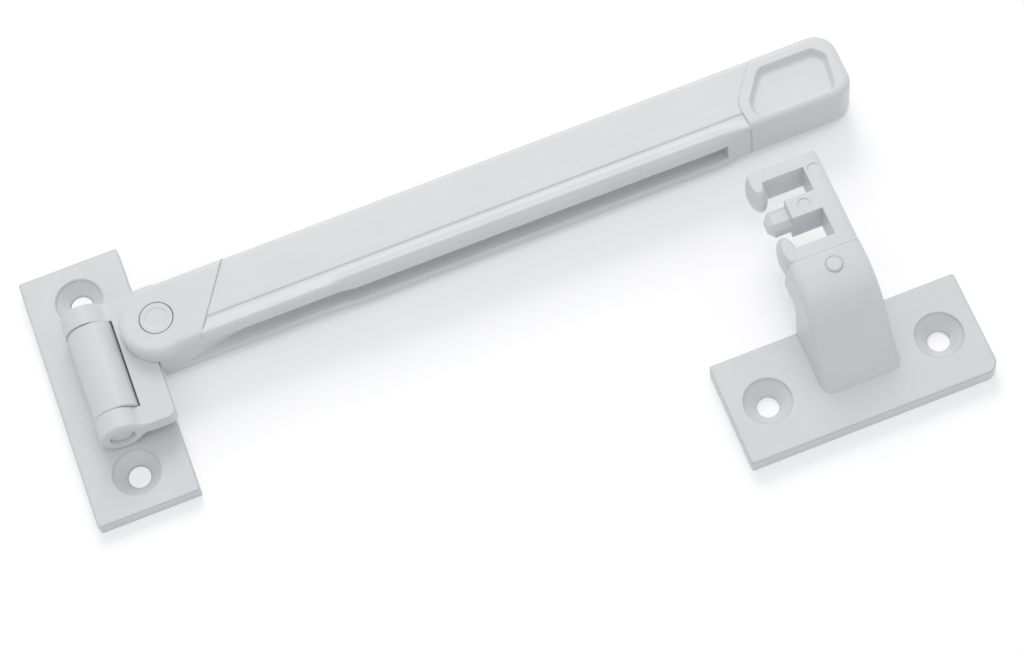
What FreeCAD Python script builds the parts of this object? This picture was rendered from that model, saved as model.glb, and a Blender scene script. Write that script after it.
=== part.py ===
import FreeCAD, Part
import math
import os

# Door guard in moulded plastic. A hinged arm with a slotted rail is screwed to the
# frame, and a keeper with a C-shaped hook is screwed to the door. Lengths are in
# millimetres. The origin is the middle of the hinge plate's back face, +X runs along
# the arm to its grip, +Y runs along the hinge barrel and +Z points out of the plates.

V = FreeCAD.Vector

# Hinge plate
plate_length = 55.0
plate_width = 20.4
plate_thickness = 2.9
plate_corner = 0.5
hinge_screw_spacing = 38.8
hinge_screw_hole = 4.4
hinge_screw_head = 9.3
screw_head_lip = 0.4

# Hinge barrel and its pin
barrel_radius = 4.1
barrel_web_side = 4.9
barrel_web_radius = 3.8
barrel_length = 18.9
barrel_foot_fillet = 1.0
pin_diameter = 5.0
pin_running_gap = 0.06
pin_seat_gap = 0.02
pin_end_recess = 0.7
pin_end_chamfer = 0.3

# Swivel bracket: two ears, a web strip and the lobe under the arm's eye
ear_radius = 4.3
ear_length = 4.3
ear_side_gap = 0.15
ear_ground_gap = 0.3
ear_blend = 1.8
ear_edge_chamfer = 0.35
web_thickness = 3.2
web_inner_x = 5.2
web_outer_x = 11.1
web_corner = 1.6
lobe_radius = 5.0
shoulder_corner = 4.9
pivot_x = 13.7
pivot_y = 4.6

# Pivot rivet
rivet_diameter = 5.0
rivet_top_head = 6.4
rivet_head_thickness = 1.4
rivet_foot_head = 8.0
rivet_foot_thickness = 1.5
rivet_foot_chamfer = 0.5
rivet_running_gap = 0.05
rivet_seat_gap = 0.02
rivet_head_gap = 0.15
rivet_dish_radius = 2.35
rivet_dish_floor_radius = 2.0
rivet_dish_depth = 0.15

# Arm, measured from the pivot axis and from the arm's own mid-plane
arm_far_y = 7.5
arm_pad_half = 5.6
arm_pad_step = 0.3
arm_edge_round = 1.2
pad_edge_round = 1.4
eye_lobe_gap = 0.1
step_line_far_x = 15.8
step_line_near_x = 6.7
rib_start_y = -0.65
rib_end_y = -3.2
rib_rise = 0.1
groove_depth = 0.15
ramp_reach = 0.9
crest_y = -6.3
crest_flat = 0.4
crest_round = 0.45
crest_half_left = 5.6
crest_half_right = 6.25
crest_half_end = 5.25
lip_left_y = -7.1
lip_right_y = -7.55
lip_end_y = -6.8
lip_round = 0.45
rail_step_x = 34.1
rail_step_length = 3.5
rail_end_x = 112.0
rail_end_taper = 7.5
rail_end_steps = 4
slot_height = 4.8
slot_floor_y = -2.6
slot_start_lip_x = 3.0
slot_start_floor_x = 26.0
slot_end_x = 114.3
stop_lug_gap = 0.3
stop_lug_thickness = 1.5

# Grip head of the arm
head_end_x = 141.3
head_near_y = -7.0
head_rim_far_x = 125.0
head_rim_bend_x = 118.9
head_rim_bend_y = -0.9
head_rim_near_x = 119.5
head_rim_bend_round = 6.0
head_far_corner = 4.5
head_near_corner = 4.0
head_overlap = 1.5
pocket_depth = 1.3
pocket_rim_far = 2.9
pocket_rim_near = 1.3
pocket_rim_end = 2.4
pocket_slope_far_x = 125.5
pocket_slope_near_x = 121.1
pocket_slope_near_y = -1.6
pocket_corner = 2.2
pocket_draft = 0.7
pocket_floor_fillet = 0.5

# Keeper plate
keeper_x = 132.9
keeper_y = -52.4
keeper_length = 50.0
keeper_width = 21.3
keeper_thickness = 3.5
keeper_corner = 0.5
keeper_worn_corner = 2.4
keeper_screw_spacing = 34.8
keeper_screw_hole = 4.3
keeper_screw_head = 9.2

# Keeper post, measured from the middle of the keeper plate's back face
post_left_x = -7.1
post_left_top_x = -6.0
post_right_x = 8.6
post_front_y = -3.3
post_top_front_y = 8.5
post_seam_y = 17.5
post_top_z = 19.5
post_nose_thickness = 8.0
post_nose_root_y = 12.2
post_front_round = 12.0
post_nose_fillet = 1.5
post_edge_round = 2.0
post_root_sink = 2.5

# Keeper hook, a C with a centre pin, seated in the post by its tang
hook_inset = 0.15
hook_bar_width = 4.0
hook_far_y = 37.8
hook_far_arm = 2.6
hook_near_arm = 2.65
hook_block_near_y = 25.95
hook_block_far_y = 30.05
hook_block_left_x = -1.4
far_beak_x = -4.8
far_beak_y = 35.8
far_beak_half_width = 1.9
near_beak_x = -4.6
near_beak_y = 20.3
near_beak_half_width = 1.9
beak_half_length = 4.0
beak_half_height = 4.8
beak_corner = 1.9
hook_corner = 1.2
hook_edge_round = 1.6
hook_pin_width = 4.4
hook_pin_facet = 1.1
hook_pin_tip_x = -6.0
ejector_mark_diameter = 2.4
ejector_mark_depth = 0.12
ejector_far_x = 6.3
ejector_far_y = 34.1
ejector_near_x = 1.8
tang_left_x = 0.0
tang_width = 5.0
tang_length = 7.0
tang_height = 5.0
tang_gap = 0.1

# Keeper cross pin
cross_pin_diameter = 3.1
cross_pin_x = 2.0
cross_pin_setback = 3.2
cross_pin_proud = 0.3
cross_pin_gap = 0.02
cross_pin_chamfer = 0.25

# Margin by which a cutting solid runs past what it cuts
past = 2.0
near = 0.001

# Heights that the pieces share
axis_z = plate_thickness + ear_ground_gap + ear_radius
eye_bottom = web_thickness / 2 + eye_lobe_gap
arm_face_half = arm_pad_half - arm_pad_step
nose_bottom_z = post_top_z - post_nose_thickness


def on_xy(z):
    """Plane of a plan outline at height z."""
    return lambda u, v: V(u, v, z)


def on_yz(x):
    """Plane of a cross-section at x."""
    return lambda u, v: V(x, u, v)


def on_xz(y):
    """Plane of a side view at y."""
    return lambda u, v: V(u, y, v)


def outline(corners, plane):
    """Closed wire through corners (u, v, radius), each radius a tangent arc."""
    points = [plane(u, v) for u, v, radius in corners]
    arcs = []
    for i, (u, v, radius) in enumerate(corners):
        corner = points[i]
        back = (points[i - 1] - corner).normalize()
        ahead = (points[(i + 1) % len(points)] - corner).normalize()
        half = back.getAngle(ahead) / 2
        reach = radius / math.tan(half)
        inward = (back + ahead) if radius > 0 else V(back)
        inward.normalize()
        crown = corner + inward * (radius / math.sin(half) - radius)
        arcs.append((corner + back * reach, crown, corner + ahead * reach, radius))
    edges = []
    for i, (start, crown, end, radius) in enumerate(arcs):
        if radius > 0:
            edges.append(Part.Arc(start, crown, end).toShape())
        following = arcs[(i + 1) % len(arcs)][0]
        if end.distanceToPoint(following) > near:
            edges.append(Part.LineSegment(end, following).toShape())
    return Part.Wire(edges)


def slab(corners, plane, depth):
    """Solid swept from an outline along the vector depth."""
    return Part.Face(outline(corners, plane)).extrude(depth)


def rectangle(u_min, u_max, v_min, v_max, radius=0.0):
    """Corners of a rectangle, all with one radius."""
    return [(u_min, v_min, radius), (u_max, v_min, radius), (u_max, v_max, radius), (u_min, v_max, radius)]


def block(x_min, x_max, y_min, y_max, z_min, z_max):
    """Plain box between two corners."""
    return Part.makeBox(x_max - x_min, y_max - y_min, z_max - z_min, V(x_min, y_min, z_min))


def edges_where(shape, test):
    """Edges of a shape whose start, middle and end all pass a test."""
    return [edge for edge in shape.Edges if all(test(p) for p in edge.discretize(3))]


def countersunk_hole(x, y, top_z, hole, head):
    """Cutter for a screw hole with a short straight lip above its cone."""
    cone_depth = (head - hole) / 2
    cone_top = top_z - screw_head_lip
    shaft = Part.makeCylinder(hole / 2, top_z + 2 * past, V(x, y, -past))
    cone = Part.makeCone(hole / 2, head / 2, cone_depth, V(x, y, cone_top - cone_depth))
    mouth = Part.makeCylinder(head / 2, past + screw_head_lip, V(x, y, cone_top))
    return shaft.fuse([cone, mouth])


def hinge_plate():
    """Screw plate with the hinge barrel, which is fuller on the side of the web."""
    half_x = plate_width / 2
    half_y = plate_length / 2
    plate = slab(rectangle(-half_x, half_x, -half_y, half_y, plate_corner), on_xy(0), V(0, 0, plate_thickness))
    start = V(0, -barrel_length / 2, axis_z)
    section = [
        (-barrel_radius, plate_thickness / 2, 0),
        (barrel_web_side, plate_thickness / 2, 0),
        (barrel_web_side, axis_z + barrel_radius, barrel_web_radius),
        (-barrel_radius, axis_z + barrel_radius, barrel_radius),
    ]
    barrel = slab(section, on_xz(start.y), V(0, barrel_length, 0))
    body = plate.fuse(barrel).removeSplitter()

    def is_foot(p):
        on_side = abs(p.x + barrel_radius) < near or abs(p.x - barrel_web_side) < near
        return on_side and abs(p.z - plate_thickness) < near

    body = body.makeFillet(barrel_foot_fillet, edges_where(body, is_foot))
    bore_radius = pin_diameter / 2 + pin_running_gap
    body = body.cut(Part.makeCylinder(bore_radius, barrel_length + 2 * past, start - V(0, past, 0), V(0, 1, 0)))
    for side in (-1, 1):
        y = side * hinge_screw_spacing / 2
        body = body.cut(countersunk_hole(0, y, plate_thickness, hinge_screw_hole, hinge_screw_head))
    return body


def ear(side):
    """One ear of the bracket with its neck to the web, on the +Y or -Y side."""
    inner = barrel_length / 2 + ear_side_gap
    outer = inner + ear_length
    low = inner if side > 0 else -outer
    ring = Part.makeCylinder(ear_radius, ear_length, V(0, low, axis_z), V(0, 1, 0))
    neck = block(0, web_inner_x + past, low, low + ear_length, axis_z - web_thickness / 2, axis_z + web_thickness / 2)
    body = ring.fuse(neck).removeSplitter()
    root_x = math.sqrt(ear_radius ** 2 - (web_thickness / 2) ** 2)
    root = edges_where(body, lambda p: abs(p.x - root_x) < near)
    body = body.makeFillet(ear_blend, root)
    face_y = side * outer
    rim = edges_where(body, lambda p: abs(p.y - face_y) < near and p.x < root_x)
    return body.makeChamfer(ear_edge_chamfer, rim)


def swivel_bracket():
    """Ears, web strip, and the lobe and shoulder under the arm's eye, in one moulding."""
    outer = barrel_length / 2 + ear_side_gap + ear_length
    web = [
        (web_inner_x, -outer, 0),
        (web_outer_x, -outer, web_corner),
        (web_outer_x, pivot_y - lobe_radius, 0),
        (pivot_x + lobe_radius, pivot_y - lobe_radius, lobe_radius),
        (pivot_x + lobe_radius, outer, shoulder_corner),
        (web_inner_x, outer, 0),
    ]
    strip = slab(web, on_xy(axis_z - web_thickness / 2), V(0, 0, web_thickness))
    body = strip.fuse([ear(1), ear(-1)]).removeSplitter()
    bore_radius = pin_diameter / 2 + pin_seat_gap
    body = body.cut(Part.makeCylinder(bore_radius, 2 * outer + 2 * past, V(0, -outer - past, axis_z), V(0, 1, 0)))
    rivet_radius = rivet_diameter / 2 + rivet_seat_gap
    return body.cut(Part.makeCylinder(rivet_radius, axis_z + past, V(pivot_x, pivot_y, 0)))


def hinge_pin():
    """Round pin through the barrel and both ears, a little short of their outer faces."""
    half = barrel_length / 2 + ear_side_gap + ear_length - pin_end_recess
    pin = Part.makeCylinder(pin_diameter / 2, 2 * half, V(0, -half, axis_z), V(0, 1, 0))
    return pin.makeChamfer(pin_end_chamfer, edges_where(pin, lambda p: abs(abs(p.y) - half) < near))


def pivot_rivet():
    """Rivet with a flush, slightly dished top head and a wider head below the lobe."""
    top = axis_z + arm_pad_half
    lobe_bottom = axis_z - web_thickness / 2
    centre = V(pivot_x, pivot_y, 0)
    shaft = Part.makeCylinder(rivet_diameter / 2, top - lobe_bottom, centre + V(0, 0, lobe_bottom))
    head = Part.makeCylinder(rivet_top_head / 2, rivet_head_thickness, centre + V(0, 0, top - rivet_head_thickness))
    foot_z = lobe_bottom - rivet_foot_thickness
    foot = Part.makeCylinder(rivet_foot_head / 2, rivet_foot_thickness, centre + V(0, 0, foot_z))
    foot = foot.makeChamfer(rivet_foot_chamfer, edges_where(foot, lambda p: abs(p.z - foot_z) < near))
    dish_z = top - rivet_dish_depth
    dish = Part.makeCone(rivet_dish_floor_radius, rivet_dish_radius, rivet_dish_depth, centre + V(0, 0, dish_z))
    return shaft.fuse([head, foot]).removeSplitter().cut(dish)


def rail_section(x, crest_half, lip_y):
    """Cross-section of the rail: flat face, low rib, ramp up to a narrow crest, sloped lip."""
    crest_inner = crest_y + crest_flat / 2
    crest_outer = crest_y - crest_flat / 2
    groove_y = rib_end_y - rib_rise - groove_depth
    groove_half = arm_face_half - groove_depth
    bend_y = (groove_y + crest_inner) / 2
    ramp_angle = math.atan2(crest_half - groove_half, bend_y - crest_inner)
    upper = [
        (arm_far_y, arm_face_half, arm_edge_round),
        (rib_start_y, arm_face_half, 0),
        (rib_start_y - rib_rise, arm_face_half + rib_rise, 0),
        (rib_end_y, arm_face_half + rib_rise, 0),
        (groove_y, groove_half, 0),
        (bend_y, groove_half, ramp_reach / math.tan(ramp_angle / 2)),
        (crest_inner, crest_half, crest_round),
        (crest_outer, crest_half, crest_round),
        (lip_y, crest_half - (crest_outer - lip_y), lip_round),
    ]
    lower = [(y, -half, radius) for y, half, radius in reversed(upper)]
    return outline(upper + lower, on_yz(x))


def rail():
    """Rail from the stop lug to inside the head, with the step in its lips."""
    start_x = web_outer_x + stop_lug_gap - pivot_x
    step_end_x = rail_step_x + rail_step_length
    left = Part.Face(rail_section(start_x, crest_half_left, lip_left_y)).extrude(V(rail_step_x - start_x, 0, 0))
    step = Part.makeLoft(
        [
            rail_section(rail_step_x, crest_half_left, lip_left_y),
            rail_section(step_end_x, crest_half_right, lip_right_y),
        ],
        True,
        True,
    )
    right = Part.Face(rail_section(step_end_x, crest_half_right, lip_right_y)).extrude(V(rail_end_x - step_end_x, 0, 0))
    sections = []
    for i in range(rail_end_steps + 1):
        way = i / rail_end_steps
        fade = (1 - math.cos(math.pi * way)) / 2
        crest = crest_half_right + (crest_half_end - crest_half_right) * fade
        lip = lip_right_y + (lip_end_y - lip_right_y) * fade
        sections.append(rail_section(rail_end_x + rail_end_taper * way, crest, lip))
    taper = Part.makeLoft(sections, True, True)
    tail_start = rail_end_x + rail_end_taper
    tail_length = head_rim_far_x + head_overlap - tail_start
    tail = Part.Face(rail_section(tail_start, crest_half_end, lip_end_y)).extrude(V(tail_length, 0, 0))
    return left.fuse([step, right, taper, tail]).removeSplitter()


def step_line_x(y):
    """The slanted line where the eye pad ends, as x at a given y."""
    slope = (step_line_far_x - step_line_near_x) / (arm_far_y - lip_left_y)
    return step_line_near_x + slope * (y - lip_left_y)


def eye_relief():
    """Cutters that clear the bracket under the eye and leave the stop lug standing."""
    reach = arm_far_y + past
    lug_top = lip_left_y + stop_lug_thickness
    low = [(-reach, lug_top, 0), (step_line_x(lug_top), lug_top, 0), (step_line_x(reach), reach, 0), (-reach, reach, 0)]
    high = [(-reach, -reach, 0), (step_line_x(-reach), -reach, 0), (step_line_x(reach), reach, 0), (-reach, reach, 0)]
    depth = crest_half_right + past
    below = slab(low, on_xy(-depth), V(0, 0, depth + eye_bottom))
    above = slab(high, on_xy(eye_bottom), V(0, 0, depth))
    return below.fuse(above)


def eye_pad():
    """Round eye of the arm with its flat pad, above the bracket's lobe."""
    tangent_x = math.sqrt(arm_far_y ** 2 - lip_left_y ** 2)
    plane = on_xy(eye_bottom)
    corners = [
        plane(0, arm_far_y),
        plane(step_line_x(arm_far_y), arm_far_y),
        plane(step_line_x(lip_left_y), lip_left_y),
        plane(tangent_x, lip_left_y),
    ]
    edges = [Part.LineSegment(a, b).toShape() for a, b in zip(corners, corners[1:])]
    edges.append(Part.Arc(corners[-1], plane(-arm_far_y, 0), corners[0]).toShape())
    pad = Part.Face(Part.Wire(edges)).extrude(V(0, 0, arm_pad_half - eye_bottom))
    rim = [
        edge for edge in edges_where(pad, lambda p: abs(p.z - arm_pad_half) < near)
        if not all(abs(p.x - step_line_x(p.y)) < near for p in edge.discretize(3))
    ]
    return pad.makeFillet(pad_edge_round, rim)


def grip_head():
    """Thick grip at the arm's end, rounded all round on both faces."""
    corners = [
        (head_rim_far_x, arm_far_y, 0),
        (head_rim_bend_x, head_rim_bend_y, head_rim_bend_round),
        (head_rim_near_x, head_near_y, 0),
        (head_end_x, head_near_y, head_near_corner),
        (head_end_x, arm_far_y, head_far_corner),
    ]
    head = slab(corners, on_xy(-arm_pad_half), V(0, 0, 2 * arm_pad_half))
    right_of_rim = head_rim_near_x - near

    def on_rounded_rim(p):
        on_side = p.y > arm_far_y - near or p.y < head_near_y + near or p.x > head_rim_far_x + near
        return abs(abs(p.z) - arm_pad_half) < near and on_side and p.x > right_of_rim

    return head.makeFillet(pad_edge_round, edges_where(head, on_rounded_rim))


def grip_pocket():
    """Cutter for the bare shallow pocket in the grip's top face."""
    far_y = arm_far_y - pocket_rim_far
    near_y = head_near_y + pocket_rim_near
    end_x = head_end_x - pocket_rim_end
    corners = [
        (pocket_slope_far_x, far_y, pocket_corner),
        (pocket_slope_near_x, pocket_slope_near_y, pocket_corner),
        (pocket_slope_near_x, near_y, pocket_corner),
        (end_x - pocket_corner / 2, near_y, pocket_corner),
        (end_x, far_y - pocket_corner, pocket_corner),
        (end_x - pocket_corner, far_y, pocket_corner / 2),
    ]
    mouth = outline(corners, on_xy(arm_pad_half))
    floor = mouth.makeOffset2D(-pocket_draft)
    floor.translate(V(0, 0, -pocket_depth))
    floor_z = arm_pad_half - pocket_depth
    pocket = Part.makeLoft([floor, mouth], True, True)
    pocket = pocket.makeFillet(pocket_floor_fillet, edges_where(pocket, lambda p: abs(p.z - floor_z) < near))
    return pocket.fuse(Part.Face(mouth).extrude(V(0, 0, past)))


def arm_slot():
    """Cutter for the long slot in the arm's near side, where the hook runs."""
    reach = lip_right_y - past
    slope = (slot_start_floor_x - slot_start_lip_x) / (slot_floor_y - lip_left_y)
    mouth_x = slot_start_floor_x + slope * (reach - slot_floor_y)
    corners = [(mouth_x, reach, 0), (slot_end_x, reach, 0), (slot_end_x, slot_floor_y, 0), (slot_start_floor_x, slot_floor_y, 0)]
    return slab(corners, on_xy(-slot_height / 2), V(0, 0, slot_height))


def arm():
    """The whole arm: eye, slotted rail and grip, moulded in one."""
    body = rail().cut(eye_relief()).fuse([eye_pad(), grip_head()]).removeSplitter()
    body = body.cut(arm_slot())
    body = body.cut(grip_pocket())
    shaft_radius = rivet_diameter / 2 + rivet_running_gap
    body = body.cut(Part.makeCylinder(shaft_radius, arm_pad_half + past, V(0, 0, 0)))
    seat_radius = rivet_top_head / 2 + rivet_head_gap
    seat_z = arm_pad_half - rivet_head_thickness - rivet_running_gap
    body = body.cut(Part.makeCylinder(seat_radius, rivet_head_thickness + past, V(0, 0, seat_z)))
    body.translate(V(pivot_x, pivot_y, axis_z))
    return body


def post():
    """Leaning post with a flat nose that overhangs the plate's back edge."""
    back_y = keeper_width / 2
    sunk_z = keeper_thickness - post_root_sink
    profile = [
        (post_front_y, sunk_z, 0),
        (post_front_y, keeper_thickness, 0),
        (post_top_front_y, post_top_z, post_front_round),
        (post_seam_y, post_top_z, 0),
        (post_seam_y, nose_bottom_z, 0),
        (post_nose_root_y, nose_bottom_z, post_nose_fillet),
        (back_y, keeper_thickness, 0),
        (back_y, sunk_z, 0),
    ]
    body = slab(profile, on_yz(post_left_x), V(post_right_x - post_left_x, 0, 0))
    taper = [
        (post_left_x - past, keeper_thickness, 0),
        (post_left_x, keeper_thickness, 0),
        (post_left_top_x, post_top_z, 0),
        (post_left_top_x, post_top_z + past, 0),
        (post_left_x - past, post_top_z + past, 0),
    ]
    body = body.cut(slab(taper, on_xz(post_front_y - past), V(0, post_seam_y - post_front_y + 2 * past, 0)))
    return body.makeFillet(post_edge_round, edges_where(body, is_post_edge))


def is_post_edge(p):
    """True on the front and top edges of the post's two side walls."""
    left_x = post_left_x + (post_left_top_x - post_left_x) * (p.z - keeper_thickness) / (post_top_z - keeper_thickness)
    on_wall = abs(p.x - post_right_x) < near or abs(p.x - left_x) < near
    lean = (post_top_front_y - post_front_y) / (post_top_z - keeper_thickness)
    front_y = post_front_y + lean * (p.z - keeper_thickness)
    outside = p.y < front_y + post_front_round / 3 or p.z > post_top_z - near
    return on_wall and outside and p.z > keeper_thickness - near


def keeper_base():
    """Keeper plate and post in one moulding, with the seat for the hook's tang."""
    half_x = keeper_length / 2
    half_y = keeper_width / 2
    corners = [
        (-half_x, -half_y, keeper_corner),
        (half_x, -half_y, keeper_worn_corner),
        (half_x, half_y, keeper_corner),
        (-half_x, half_y, keeper_corner),
    ]
    body = slab(corners, on_xy(0), V(0, 0, keeper_thickness)).fuse(post()).removeSplitter()
    for side in (-1, 1):
        x = side * keeper_screw_spacing / 2
        body = body.cut(countersunk_hole(x, 0, keeper_thickness, keeper_screw_hole, keeper_screw_head))
    body = body.cut(tang(tang_gap))
    body = body.cut(cross_pin_hole())
    body.translate(V(keeper_x, keeper_y, 0))
    return body


def tang(gap):
    """Square tang of the hook, or its seat when gap is above zero."""
    middle_z = post_top_z - post_nose_thickness / 2
    return block(
        tang_left_x - gap,
        tang_left_x + tang_width + gap,
        post_seam_y - tang_length - gap,
        post_seam_y + past / 2,
        middle_z - tang_height / 2 - gap,
        middle_z + tang_height / 2 + gap,
    )


def cross_pin_hole():
    """Cutter for the cross pin, through the post's nose and the tang."""
    radius = cross_pin_diameter / 2 + cross_pin_gap
    y = post_seam_y - cross_pin_setback
    return Part.makeCylinder(radius, post_nose_thickness + 2 * past, V(cross_pin_x, y, nose_bottom_z - past))


def hook_frame():
    """Bar, two arms and centre block of the hook, all but the beaks."""
    bar_right_x = post_right_x - hook_inset
    bar_inner_x = post_right_x - hook_bar_width
    gap_far_y = hook_far_y - hook_far_arm
    gap_near_y = post_seam_y + hook_near_arm
    corners = [
        (bar_right_x, post_seam_y, 0),
        (bar_right_x, hook_far_y, 0),
        (far_beak_x, hook_far_y, beak_corner / 2),
        (far_beak_x, gap_far_y, 0),
        (bar_inner_x, gap_far_y, 0),
        (bar_inner_x, hook_block_far_y, 0),
        (hook_block_left_x, hook_block_far_y, 0),
        (hook_block_left_x, hook_block_near_y, 0),
        (bar_inner_x, hook_block_near_y, 0),
        (bar_inner_x, gap_near_y, 0),
        (near_beak_x, gap_near_y, 0),
        (post_left_top_x + hook_inset, post_seam_y, 0),
    ]
    body = hook_slab(corners)

    def runs_over(low_y, high_y):
        """Edges along the hook's faces between two heights in the plan."""
        middle_y = (low_y + high_y) / 2
        return [edge for edge in body.Edges if abs(edge.CenterOfMass.y - middle_y) < near and edge.Length > near]

    right = [edge for edge in runs_over(post_seam_y, hook_far_y) if edge.CenterOfMass.x > bar_right_x - near]
    left = [edge for edge in runs_over(post_seam_y, gap_near_y) if edge.CenterOfMass.x < near_beak_x + near]
    body = body.makeFillet(hook_edge_round, right + left)
    left_x = far_beak_x - past
    around = [
        (left_x, post_seam_y, 0),
        (bar_right_x, post_seam_y, 0),
        (bar_right_x, hook_far_y, hook_corner),
        (left_x, hook_far_y, 0),
    ]
    return body.common(hook_slab(around))


def hook_slab(corners):
    """Slab of the hook's thickness over a plan outline."""
    bottom_z = nose_bottom_z + hook_inset
    return slab(corners, on_xy(bottom_z), V(0, 0, post_top_z - hook_inset - bottom_z))


def beak(x, y, half_width, low_y, high_y, corner):
    """Almond-shaped beak round (x, y), cut flat at the hook's faces and at low_y and high_y."""
    stretch = FreeCAD.Matrix()
    stretch.scale(half_width, beak_half_length, beak_half_height)
    almond = Part.makeSphere(1).transformGeometry(stretch)
    almond.translate(V(x, y, post_top_z - post_nose_thickness / 2))
    room = [
        (x - half_width, low_y, 0),
        (x + half_width + past, low_y, 0),
        (x + half_width + past, high_y, 0),
        (x - half_width, high_y, corner),
    ]
    return almond.common(hook_slab(room))


def hook_pin():
    """Eight-sided centre pin of the hook with a chamfered tip."""
    middle_y = (hook_block_near_y + hook_block_far_y) / 2
    middle_z = post_top_z - post_nose_thickness / 2
    half = hook_pin_width / 2
    flat = half - hook_pin_facet
    quarter = [(half, flat), (flat, half)]
    turned = [(-v, u) for u, v in quarter]
    sides = quarter + turned + [(-u, -v) for u, v in quarter + turned]
    section = [(middle_y + u, middle_z + v, 0) for u, v in sides]
    root_x = hook_block_left_x + past / 2
    pin = slab(section, on_yz(root_x), V(hook_pin_tip_x - root_x, 0, 0))
    return pin.makeChamfer(hook_pin_facet, edges_where(pin, lambda p: abs(p.x - hook_pin_tip_x) < near))


def ejector_mark(x, y):
    """Cutter for a shallow round mark in the hook's top face."""
    floor_z = post_top_z - hook_inset - ejector_mark_depth
    return Part.makeCylinder(ejector_mark_diameter / 2, past, V(x, y, floor_z))


def keeper_hook():
    """C-shaped hook with rounded beaks, its centre pin and the tang."""
    middle_y = (hook_block_near_y + hook_block_far_y) / 2
    far_beak = beak(far_beak_x, far_beak_y, far_beak_half_width, hook_block_far_y, hook_far_y, beak_corner)
    near_beak = beak(near_beak_x, near_beak_y, near_beak_half_width, post_seam_y, hook_block_near_y, 0)
    body = hook_frame().fuse([far_beak, near_beak, hook_pin(), tang(0)]).removeSplitter()
    body = body.cut([ejector_mark(ejector_far_x, ejector_far_y), ejector_mark(ejector_near_x, middle_y)])
    body = body.cut(cross_pin_hole())
    body.translate(V(keeper_x, keeper_y, 0))
    return body


def keeper_pin():
    """Round cross pin that holds the hook's tang, its end a little proud."""
    length = post_nose_thickness + cross_pin_proud
    y = post_seam_y - cross_pin_setback
    pin = Part.makeCylinder(cross_pin_diameter / 2, length, V(cross_pin_x, y, nose_bottom_z))
    top = nose_bottom_z + length
    pin = pin.makeChamfer(cross_pin_chamfer, edges_where(pin, lambda p: abs(p.z - top) < near))
    pin.translate(V(keeper_x, keeper_y, 0))
    return pin


pieces = {
    "hinge_plate": hinge_plate(),
    "swivel_bracket": swivel_bracket(),
    "hinge_pin": hinge_pin(),
    "pivot_rivet": pivot_rivet(),
    "arm": arm(),
    "keeper_base": keeper_base(),
    "keeper_hook": keeper_hook(),
    "keeper_pin": keeper_pin(),
}

os.makedirs("parts", exist_ok=True)
for name, shape in pieces.items():
    solids = len(shape.Solids)
    print(name, "solids", solids, "valid", shape.isValid(), "volume", round(shape.Volume, 1))
    shape.exportStep("parts/" + name + ".step")
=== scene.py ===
import math

import bpy
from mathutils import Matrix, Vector

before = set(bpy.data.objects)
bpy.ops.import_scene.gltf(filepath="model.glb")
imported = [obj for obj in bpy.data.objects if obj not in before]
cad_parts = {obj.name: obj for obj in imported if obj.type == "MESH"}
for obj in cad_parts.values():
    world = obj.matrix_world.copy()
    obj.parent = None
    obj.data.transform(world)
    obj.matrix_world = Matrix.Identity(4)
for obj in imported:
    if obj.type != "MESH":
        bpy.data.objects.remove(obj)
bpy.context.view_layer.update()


# The surface and the room. The guard lies on a seamless white table. The table shows white
# to the camera and in gloss, more so far away, and still takes the soft grey shadow of what
# lies on it.


class Flow:
    """A value that runs through a material's nodes. A sum on flows adds its Math nodes."""

    def __init__(self, tree, socket=None):
        self.tree = tree
        self.socket = socket

    def node(self, kind, settings=None, inputs=None, output=0):
        """A new node of a kind, its settings set first and then its sockets."""
        made = self.tree.nodes.new("ShaderNode" + kind)
        for key, value in (settings or {}).items():
            setattr(made, key, value)
        for key, value in (inputs or {}).items():
            if isinstance(value, Flow):
                self.tree.links.new(value.socket, made.inputs[key])
            else:
                made.inputs[key].default_value = value
        return Flow(self.tree, made.outputs[output])

    def sum(self, operation, first, second=0.0):
        """One Math node."""
        return self.node("Math", {"operation": operation}, {0: first, 1: second})

    def __add__(self, other):
        return self.sum("ADD", self, other)

    def __radd__(self, other):
        return self.sum("ADD", other, self)

    def __sub__(self, other):
        return self.sum("SUBTRACT", self, other)

    def __rsub__(self, other):
        return self.sum("SUBTRACT", other, self)

    def __mul__(self, other):
        return self.sum("MULTIPLY", self, other)

    def __rmul__(self, other):
        return self.sum("MULTIPLY", other, self)

    def __abs__(self):
        return self.sum("ABSOLUTE", self)

    def root(self):
        """The square root."""
        return self.sum("SQRT", self)

    def part(self, axis):
        """One coordinate of a place: x is 0 and y is 1."""
        return self.node("SeparateXYZ", inputs={0: self}, output=axis)

    def either(self, other):
        """The larger of two values."""
        return self.sum("MAXIMUM", self, other)

    def fade(self, start, end):
        """0 at start and 1 at end, smooth between them."""
        smooth = {"interpolation_type": "SMOOTHSTEP", "clamp": True}
        span = {"Value": self, "From Min": start, "From Max": end}
        return self.node("MapRange", smooth, span)

    def blend(self, low, high):
        """The colour low where this is 0 and high where it is 1."""
        ends = {0: self, 6: (*low, 1.0), 7: (*high, 1.0)}
        return self.node("Mix", {"data_type": "RGBA"}, ends, output=2)


def new_material(name):
    """An empty material, the flow that starts in it and the socket where it ends."""
    material = bpy.data.materials.new(name)
    material.use_nodes = True
    material.node_tree.nodes.clear()
    output = material.node_tree.nodes.new("ShaderNodeOutputMaterial")
    return material, Flow(material.node_tree), output.inputs["Surface"]


def in_view(flow):
    """1 for the rays that show a thing: to the camera, in gloss or through glass."""
    direct = flow.node("LightPath", output="Is Camera Ray")
    in_gloss = flow.node("LightPath", output="Is Glossy Ray")
    in_glass = flow.node("LightPath", output="Is Transmission Ray")
    return direct.either(in_gloss).either(in_glass)


def plan_distance(place, x, y):
    """How far a place is from the upright line through x, y."""
    east = place.part(0) - x
    north = place.part(1) - y
    return (east * east + north * north).root()


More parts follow.
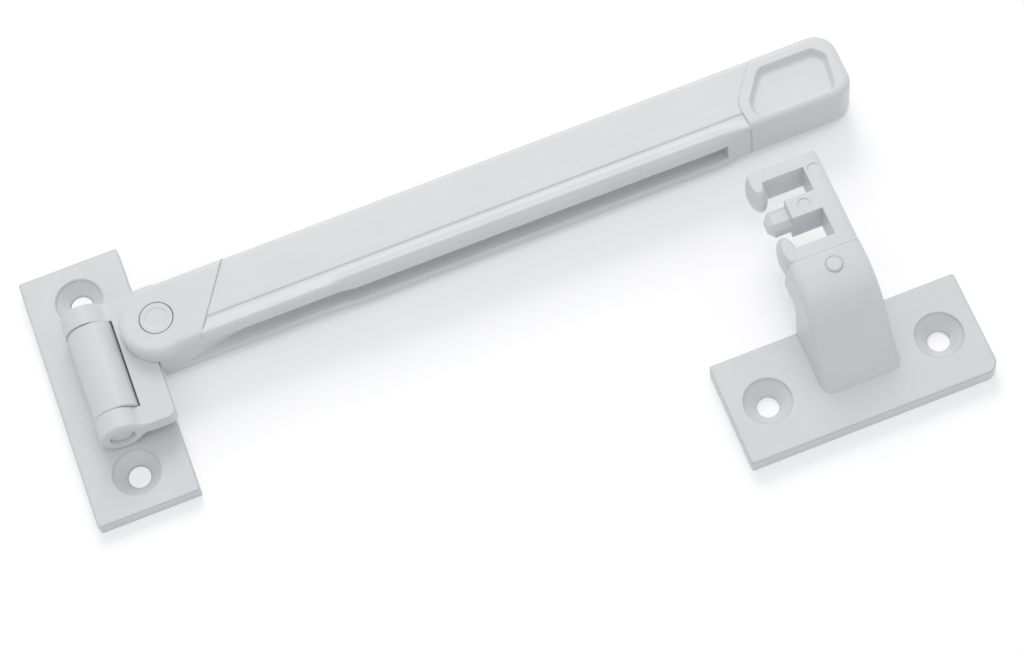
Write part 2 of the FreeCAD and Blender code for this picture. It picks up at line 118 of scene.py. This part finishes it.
table_size = 3.0
table_middle = (0.07, 0.0, 0.0)
table_colour = (0.86, 0.86, 0.87, 1.0)
near_glow, near_end = (0.26, 0.26, 0.26), 0.35
far_glow, far_start = (1.0, 1.0, 1.0), 1.2

bpy.ops.mesh.primitive_plane_add(size=table_size, location=table_middle)
table = bpy.context.object
table.name = "table"
table_material, flow, surface = new_material("white_table")
matt = flow.node("BsdfDiffuse", inputs={"Color": table_colour})
place = flow.node("TexCoord", output="Object")
far_away = plan_distance(place, 0.0, 0.0).fade(near_end, far_start)
glow = flow.node("Emission", inputs={"Color": far_away.blend(near_glow, far_glow)})
lit = flow.node("AddShader", inputs={0: matt, 1: glow})
shown = flow.node("MixShader", inputs={0: in_view(flow), 1: matt, 2: lit})
table_material.node_tree.links.new(shown.socket, surface)
table.data.materials.append(table_material)


# The light. A pale room gives most of it. A wide soft lamp stands beyond the guard, so that
# shadows fall towards the viewer, and a smaller one above puts a sheen on the rounded edges.

room_light = 0.65
room_tint = (0.97, 0.98, 1.0, 1.0)
lamp_tint = (1.0, 0.985, 0.955)
middle_of_guard = Vector((0.075, -0.02, 0.0))

room = bpy.data.worlds.new("pale_room")
room.use_nodes = True
walls = room.node_tree.nodes["Background"]
walls.inputs["Color"].default_value = room_tint
brightness = in_view(Flow(room.node_tree)) * (1 - room_light) + room_light
room.node_tree.links.new(brightness.socket, walls.inputs["Strength"])
bpy.context.scene.world = room


def soft_lamp(name, away, width, watts):
    """A square lamp that stands at an offset from the middle of the guard and faces it."""
    lamp = bpy.data.lights.new(name, "AREA")
    lamp.size = width
    lamp.energy = watts
    lamp.color = lamp_tint
    stand = bpy.data.objects.new(name, lamp)
    stand.location = middle_of_guard + Vector(away)
    stand.rotation_euler = (-Vector(away)).to_track_quat("-Z", "Y").to_euler()
    bpy.context.scene.collection.objects.link(stand)


soft_lamp("key_lamp", away=(0.13, 0.76, 0.75), width=0.50, watts=3.35)
soft_lamp("top_lamp", away=(0.05, -0.15, 0.95), width=0.22, watts=0.65)


# The camera. It looks down over the near edge of the guard, through a long lens, with the
# arm rising to the right.

camera_degrees = (24.47, 5.42, -20.52)

camera_data = bpy.data.cameras.new("camera")
camera_data.sensor_fit = "HORIZONTAL"
camera_data.sensor_width = 36.0
camera_data.lens = 95.8
camera_data.clip_start = 0.01
camera = bpy.data.objects.new("camera", camera_data)
camera.location = (0.04283, -0.23718, 0.47626)
camera.rotation_euler = [math.radians(angle) for angle in camera_degrees]
bpy.context.scene.collection.objects.link(camera)
bpy.context.scene.camera = camera
bpy.context.scene.view_settings.view_transform = "Standard"


# The hinge plate. A flat screw plate with the hinge barrel on it, one moulding in pale cool
# grey-white plastic, held by two countersunk screws. It is satin, with a faint weld line
# from each screw hole to the end beside it.

pale_grey = (0.735, 0.740, 0.757)
dark_patch, light_patch = 0.975, 1.015
soft_edge, plate_edge = 0.0003, 0.0007
grain_per_metre, streaks_per_metre, sinks_per_metre = 2600.0, 260.0, 70.0
grain_height, streak_height, sink_height = 0.10, 0.30, 1.2
grain_rough, streak_rough, least_rough = 0.08, 0.10, 0.27
skin_strength, skin_depth = 0.5, 0.00004
plastic_ior = 1.49


def moulded_plastic(name, tint, streak=(1.0, 1.0, 1.0), marks=None, edge=soft_edge):
    """Satin moulded plastic: fine tool grain, slow sinks, faint flow streaks and soft edges."""
    material, flow, surface = new_material(name)
    place = flow.node("TexCoord", output="Object")
    drawn = flow.node("VectorMath", {"operation": "MULTIPLY"}, {0: place, 1: streak})
    fine = {"Vector": place, "Scale": grain_per_metre, "Detail": 3.0}
    wide = {"Vector": place, "Scale": sinks_per_metre, "Detail": 2.0}
    long = {"Vector": drawn, "Scale": streaks_per_metre, "Detail": 3.0}
    grain = flow.node("TexNoise", inputs=fine)
    sink = flow.node("TexNoise", inputs=wide)
    streaks = flow.node("TexNoise", inputs=long)
    mark = marks(place) if marks else 0.0
    darker = [channel * dark_patch for channel in tint]
    lighter = [channel * light_patch for channel in tint]
    colour = (sink * 0.55 + streaks * 0.45).fade(0.3, 0.7).blend(darker, lighter)
    rough = least_rough + streaks * streak_rough + grain * grain_rough
    height = grain * grain_height + streaks * streak_height + sink * sink_height - mark
    rounded = flow.node("Bevel", {"samples": 6}, {"Radius": edge})
    skin = {"Strength": skin_strength, "Distance": skin_depth}
    bump = flow.node("Bump", inputs={**skin, "Height": height, "Normal": rounded})
    finish = {"Base Color": colour, "Roughness": rough, "Normal": bump, "IOR": plastic_ior}
    plastic = flow.node("BsdfPrincipled", inputs=finish)
    material.node_tree.links.new(plastic.socket, surface)
    return material


def dress(node, material):
    """Gives a CAD node its material."""
    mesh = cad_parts[node].data
    mesh.materials.clear()
    mesh.materials.append(material)


weld_x, weld_wander, bends_per_metre = 0.0002, 0.0008, 300.0
weld_start, weld_full = 0.0235, 0.0245
line_core, weld_edge = 0.00005, 0.00018


def weld_line(place):
    """A hair-thin line from each screw hole to the end of the plate beside it."""
    wander = place.node("TexNoise", inputs={"Vector": place, "Scale": bends_per_metre})
    off_line = abs(place.part(0) - weld_x + (wander - 0.5) * weld_wander)
    near_end_of_plate = abs(place.part(1)).fade(weld_start, weld_full)
    return (1 - off_line.fade(line_core, weld_edge)) * near_end_of_plate


plate_plastic = moulded_plastic("plate_plastic", pale_grey, marks=weld_line, edge=plate_edge)
dress("hinge_plate", plate_plastic)


# The swivel bracket. Two ears, the web between them and the lobe under the arm, moulded in
# one in the same plastic. The hinge pin holds its ears on the barrel, and the plastic flowed
# from ear to ear.

along_barrel = (1.0, 0.3, 1.0)
dress("swivel_bracket", moulded_plastic("bracket_plastic", pale_grey, along_barrel))


# The hinge pin, the rivet and the cross pin. Small round mouldings in a plastic a shade
# lighter than the plates', pressed or headed into their bores.

pin_grey = (0.745, 0.748, 0.762)
pin_plastic = moulded_plastic("pin_plastic", pin_grey)
for node in ("hinge_pin", "pivot_rivet", "keeper_pin"):
    dress(node, pin_plastic)


# The arm. One long moulding with its eye, slotted rail and grip, which turns on the rivet.
# The plastic flowed along it, so its faint streaks run that way.

arm_grey = (0.752, 0.754, 0.767)
arm_edge = 0.0004
along_arm = (0.12, 1.0, 1.0)
rivet_x, rivet_y = 0.0137, 0.0046
ring_radius, ring_edge, ring_depth = 0.0051, 0.00022, 0.4


def insert_ring(place):
    """A faint ring on the eye, left by the round insert that shapes the mould there."""
    off_ring = abs(plan_distance(place, rivet_x, rivet_y) - ring_radius)
    return (1 - off_ring.fade(line_core, ring_edge)) * ring_depth


dress("arm", moulded_plastic("arm_plastic", arm_grey, along_arm, insert_ring, arm_edge))


# The keeper. Plate and post are one moulding, held by two countersunk screws. The C-shaped
# hook is a second one, with its tang in the post, where the cross pin holds it.

dress("keeper_base", moulded_plastic("keeper_plastic", pale_grey, edge=plate_edge))
dress("keeper_hook", moulded_plastic("hook_plastic", pin_grey))
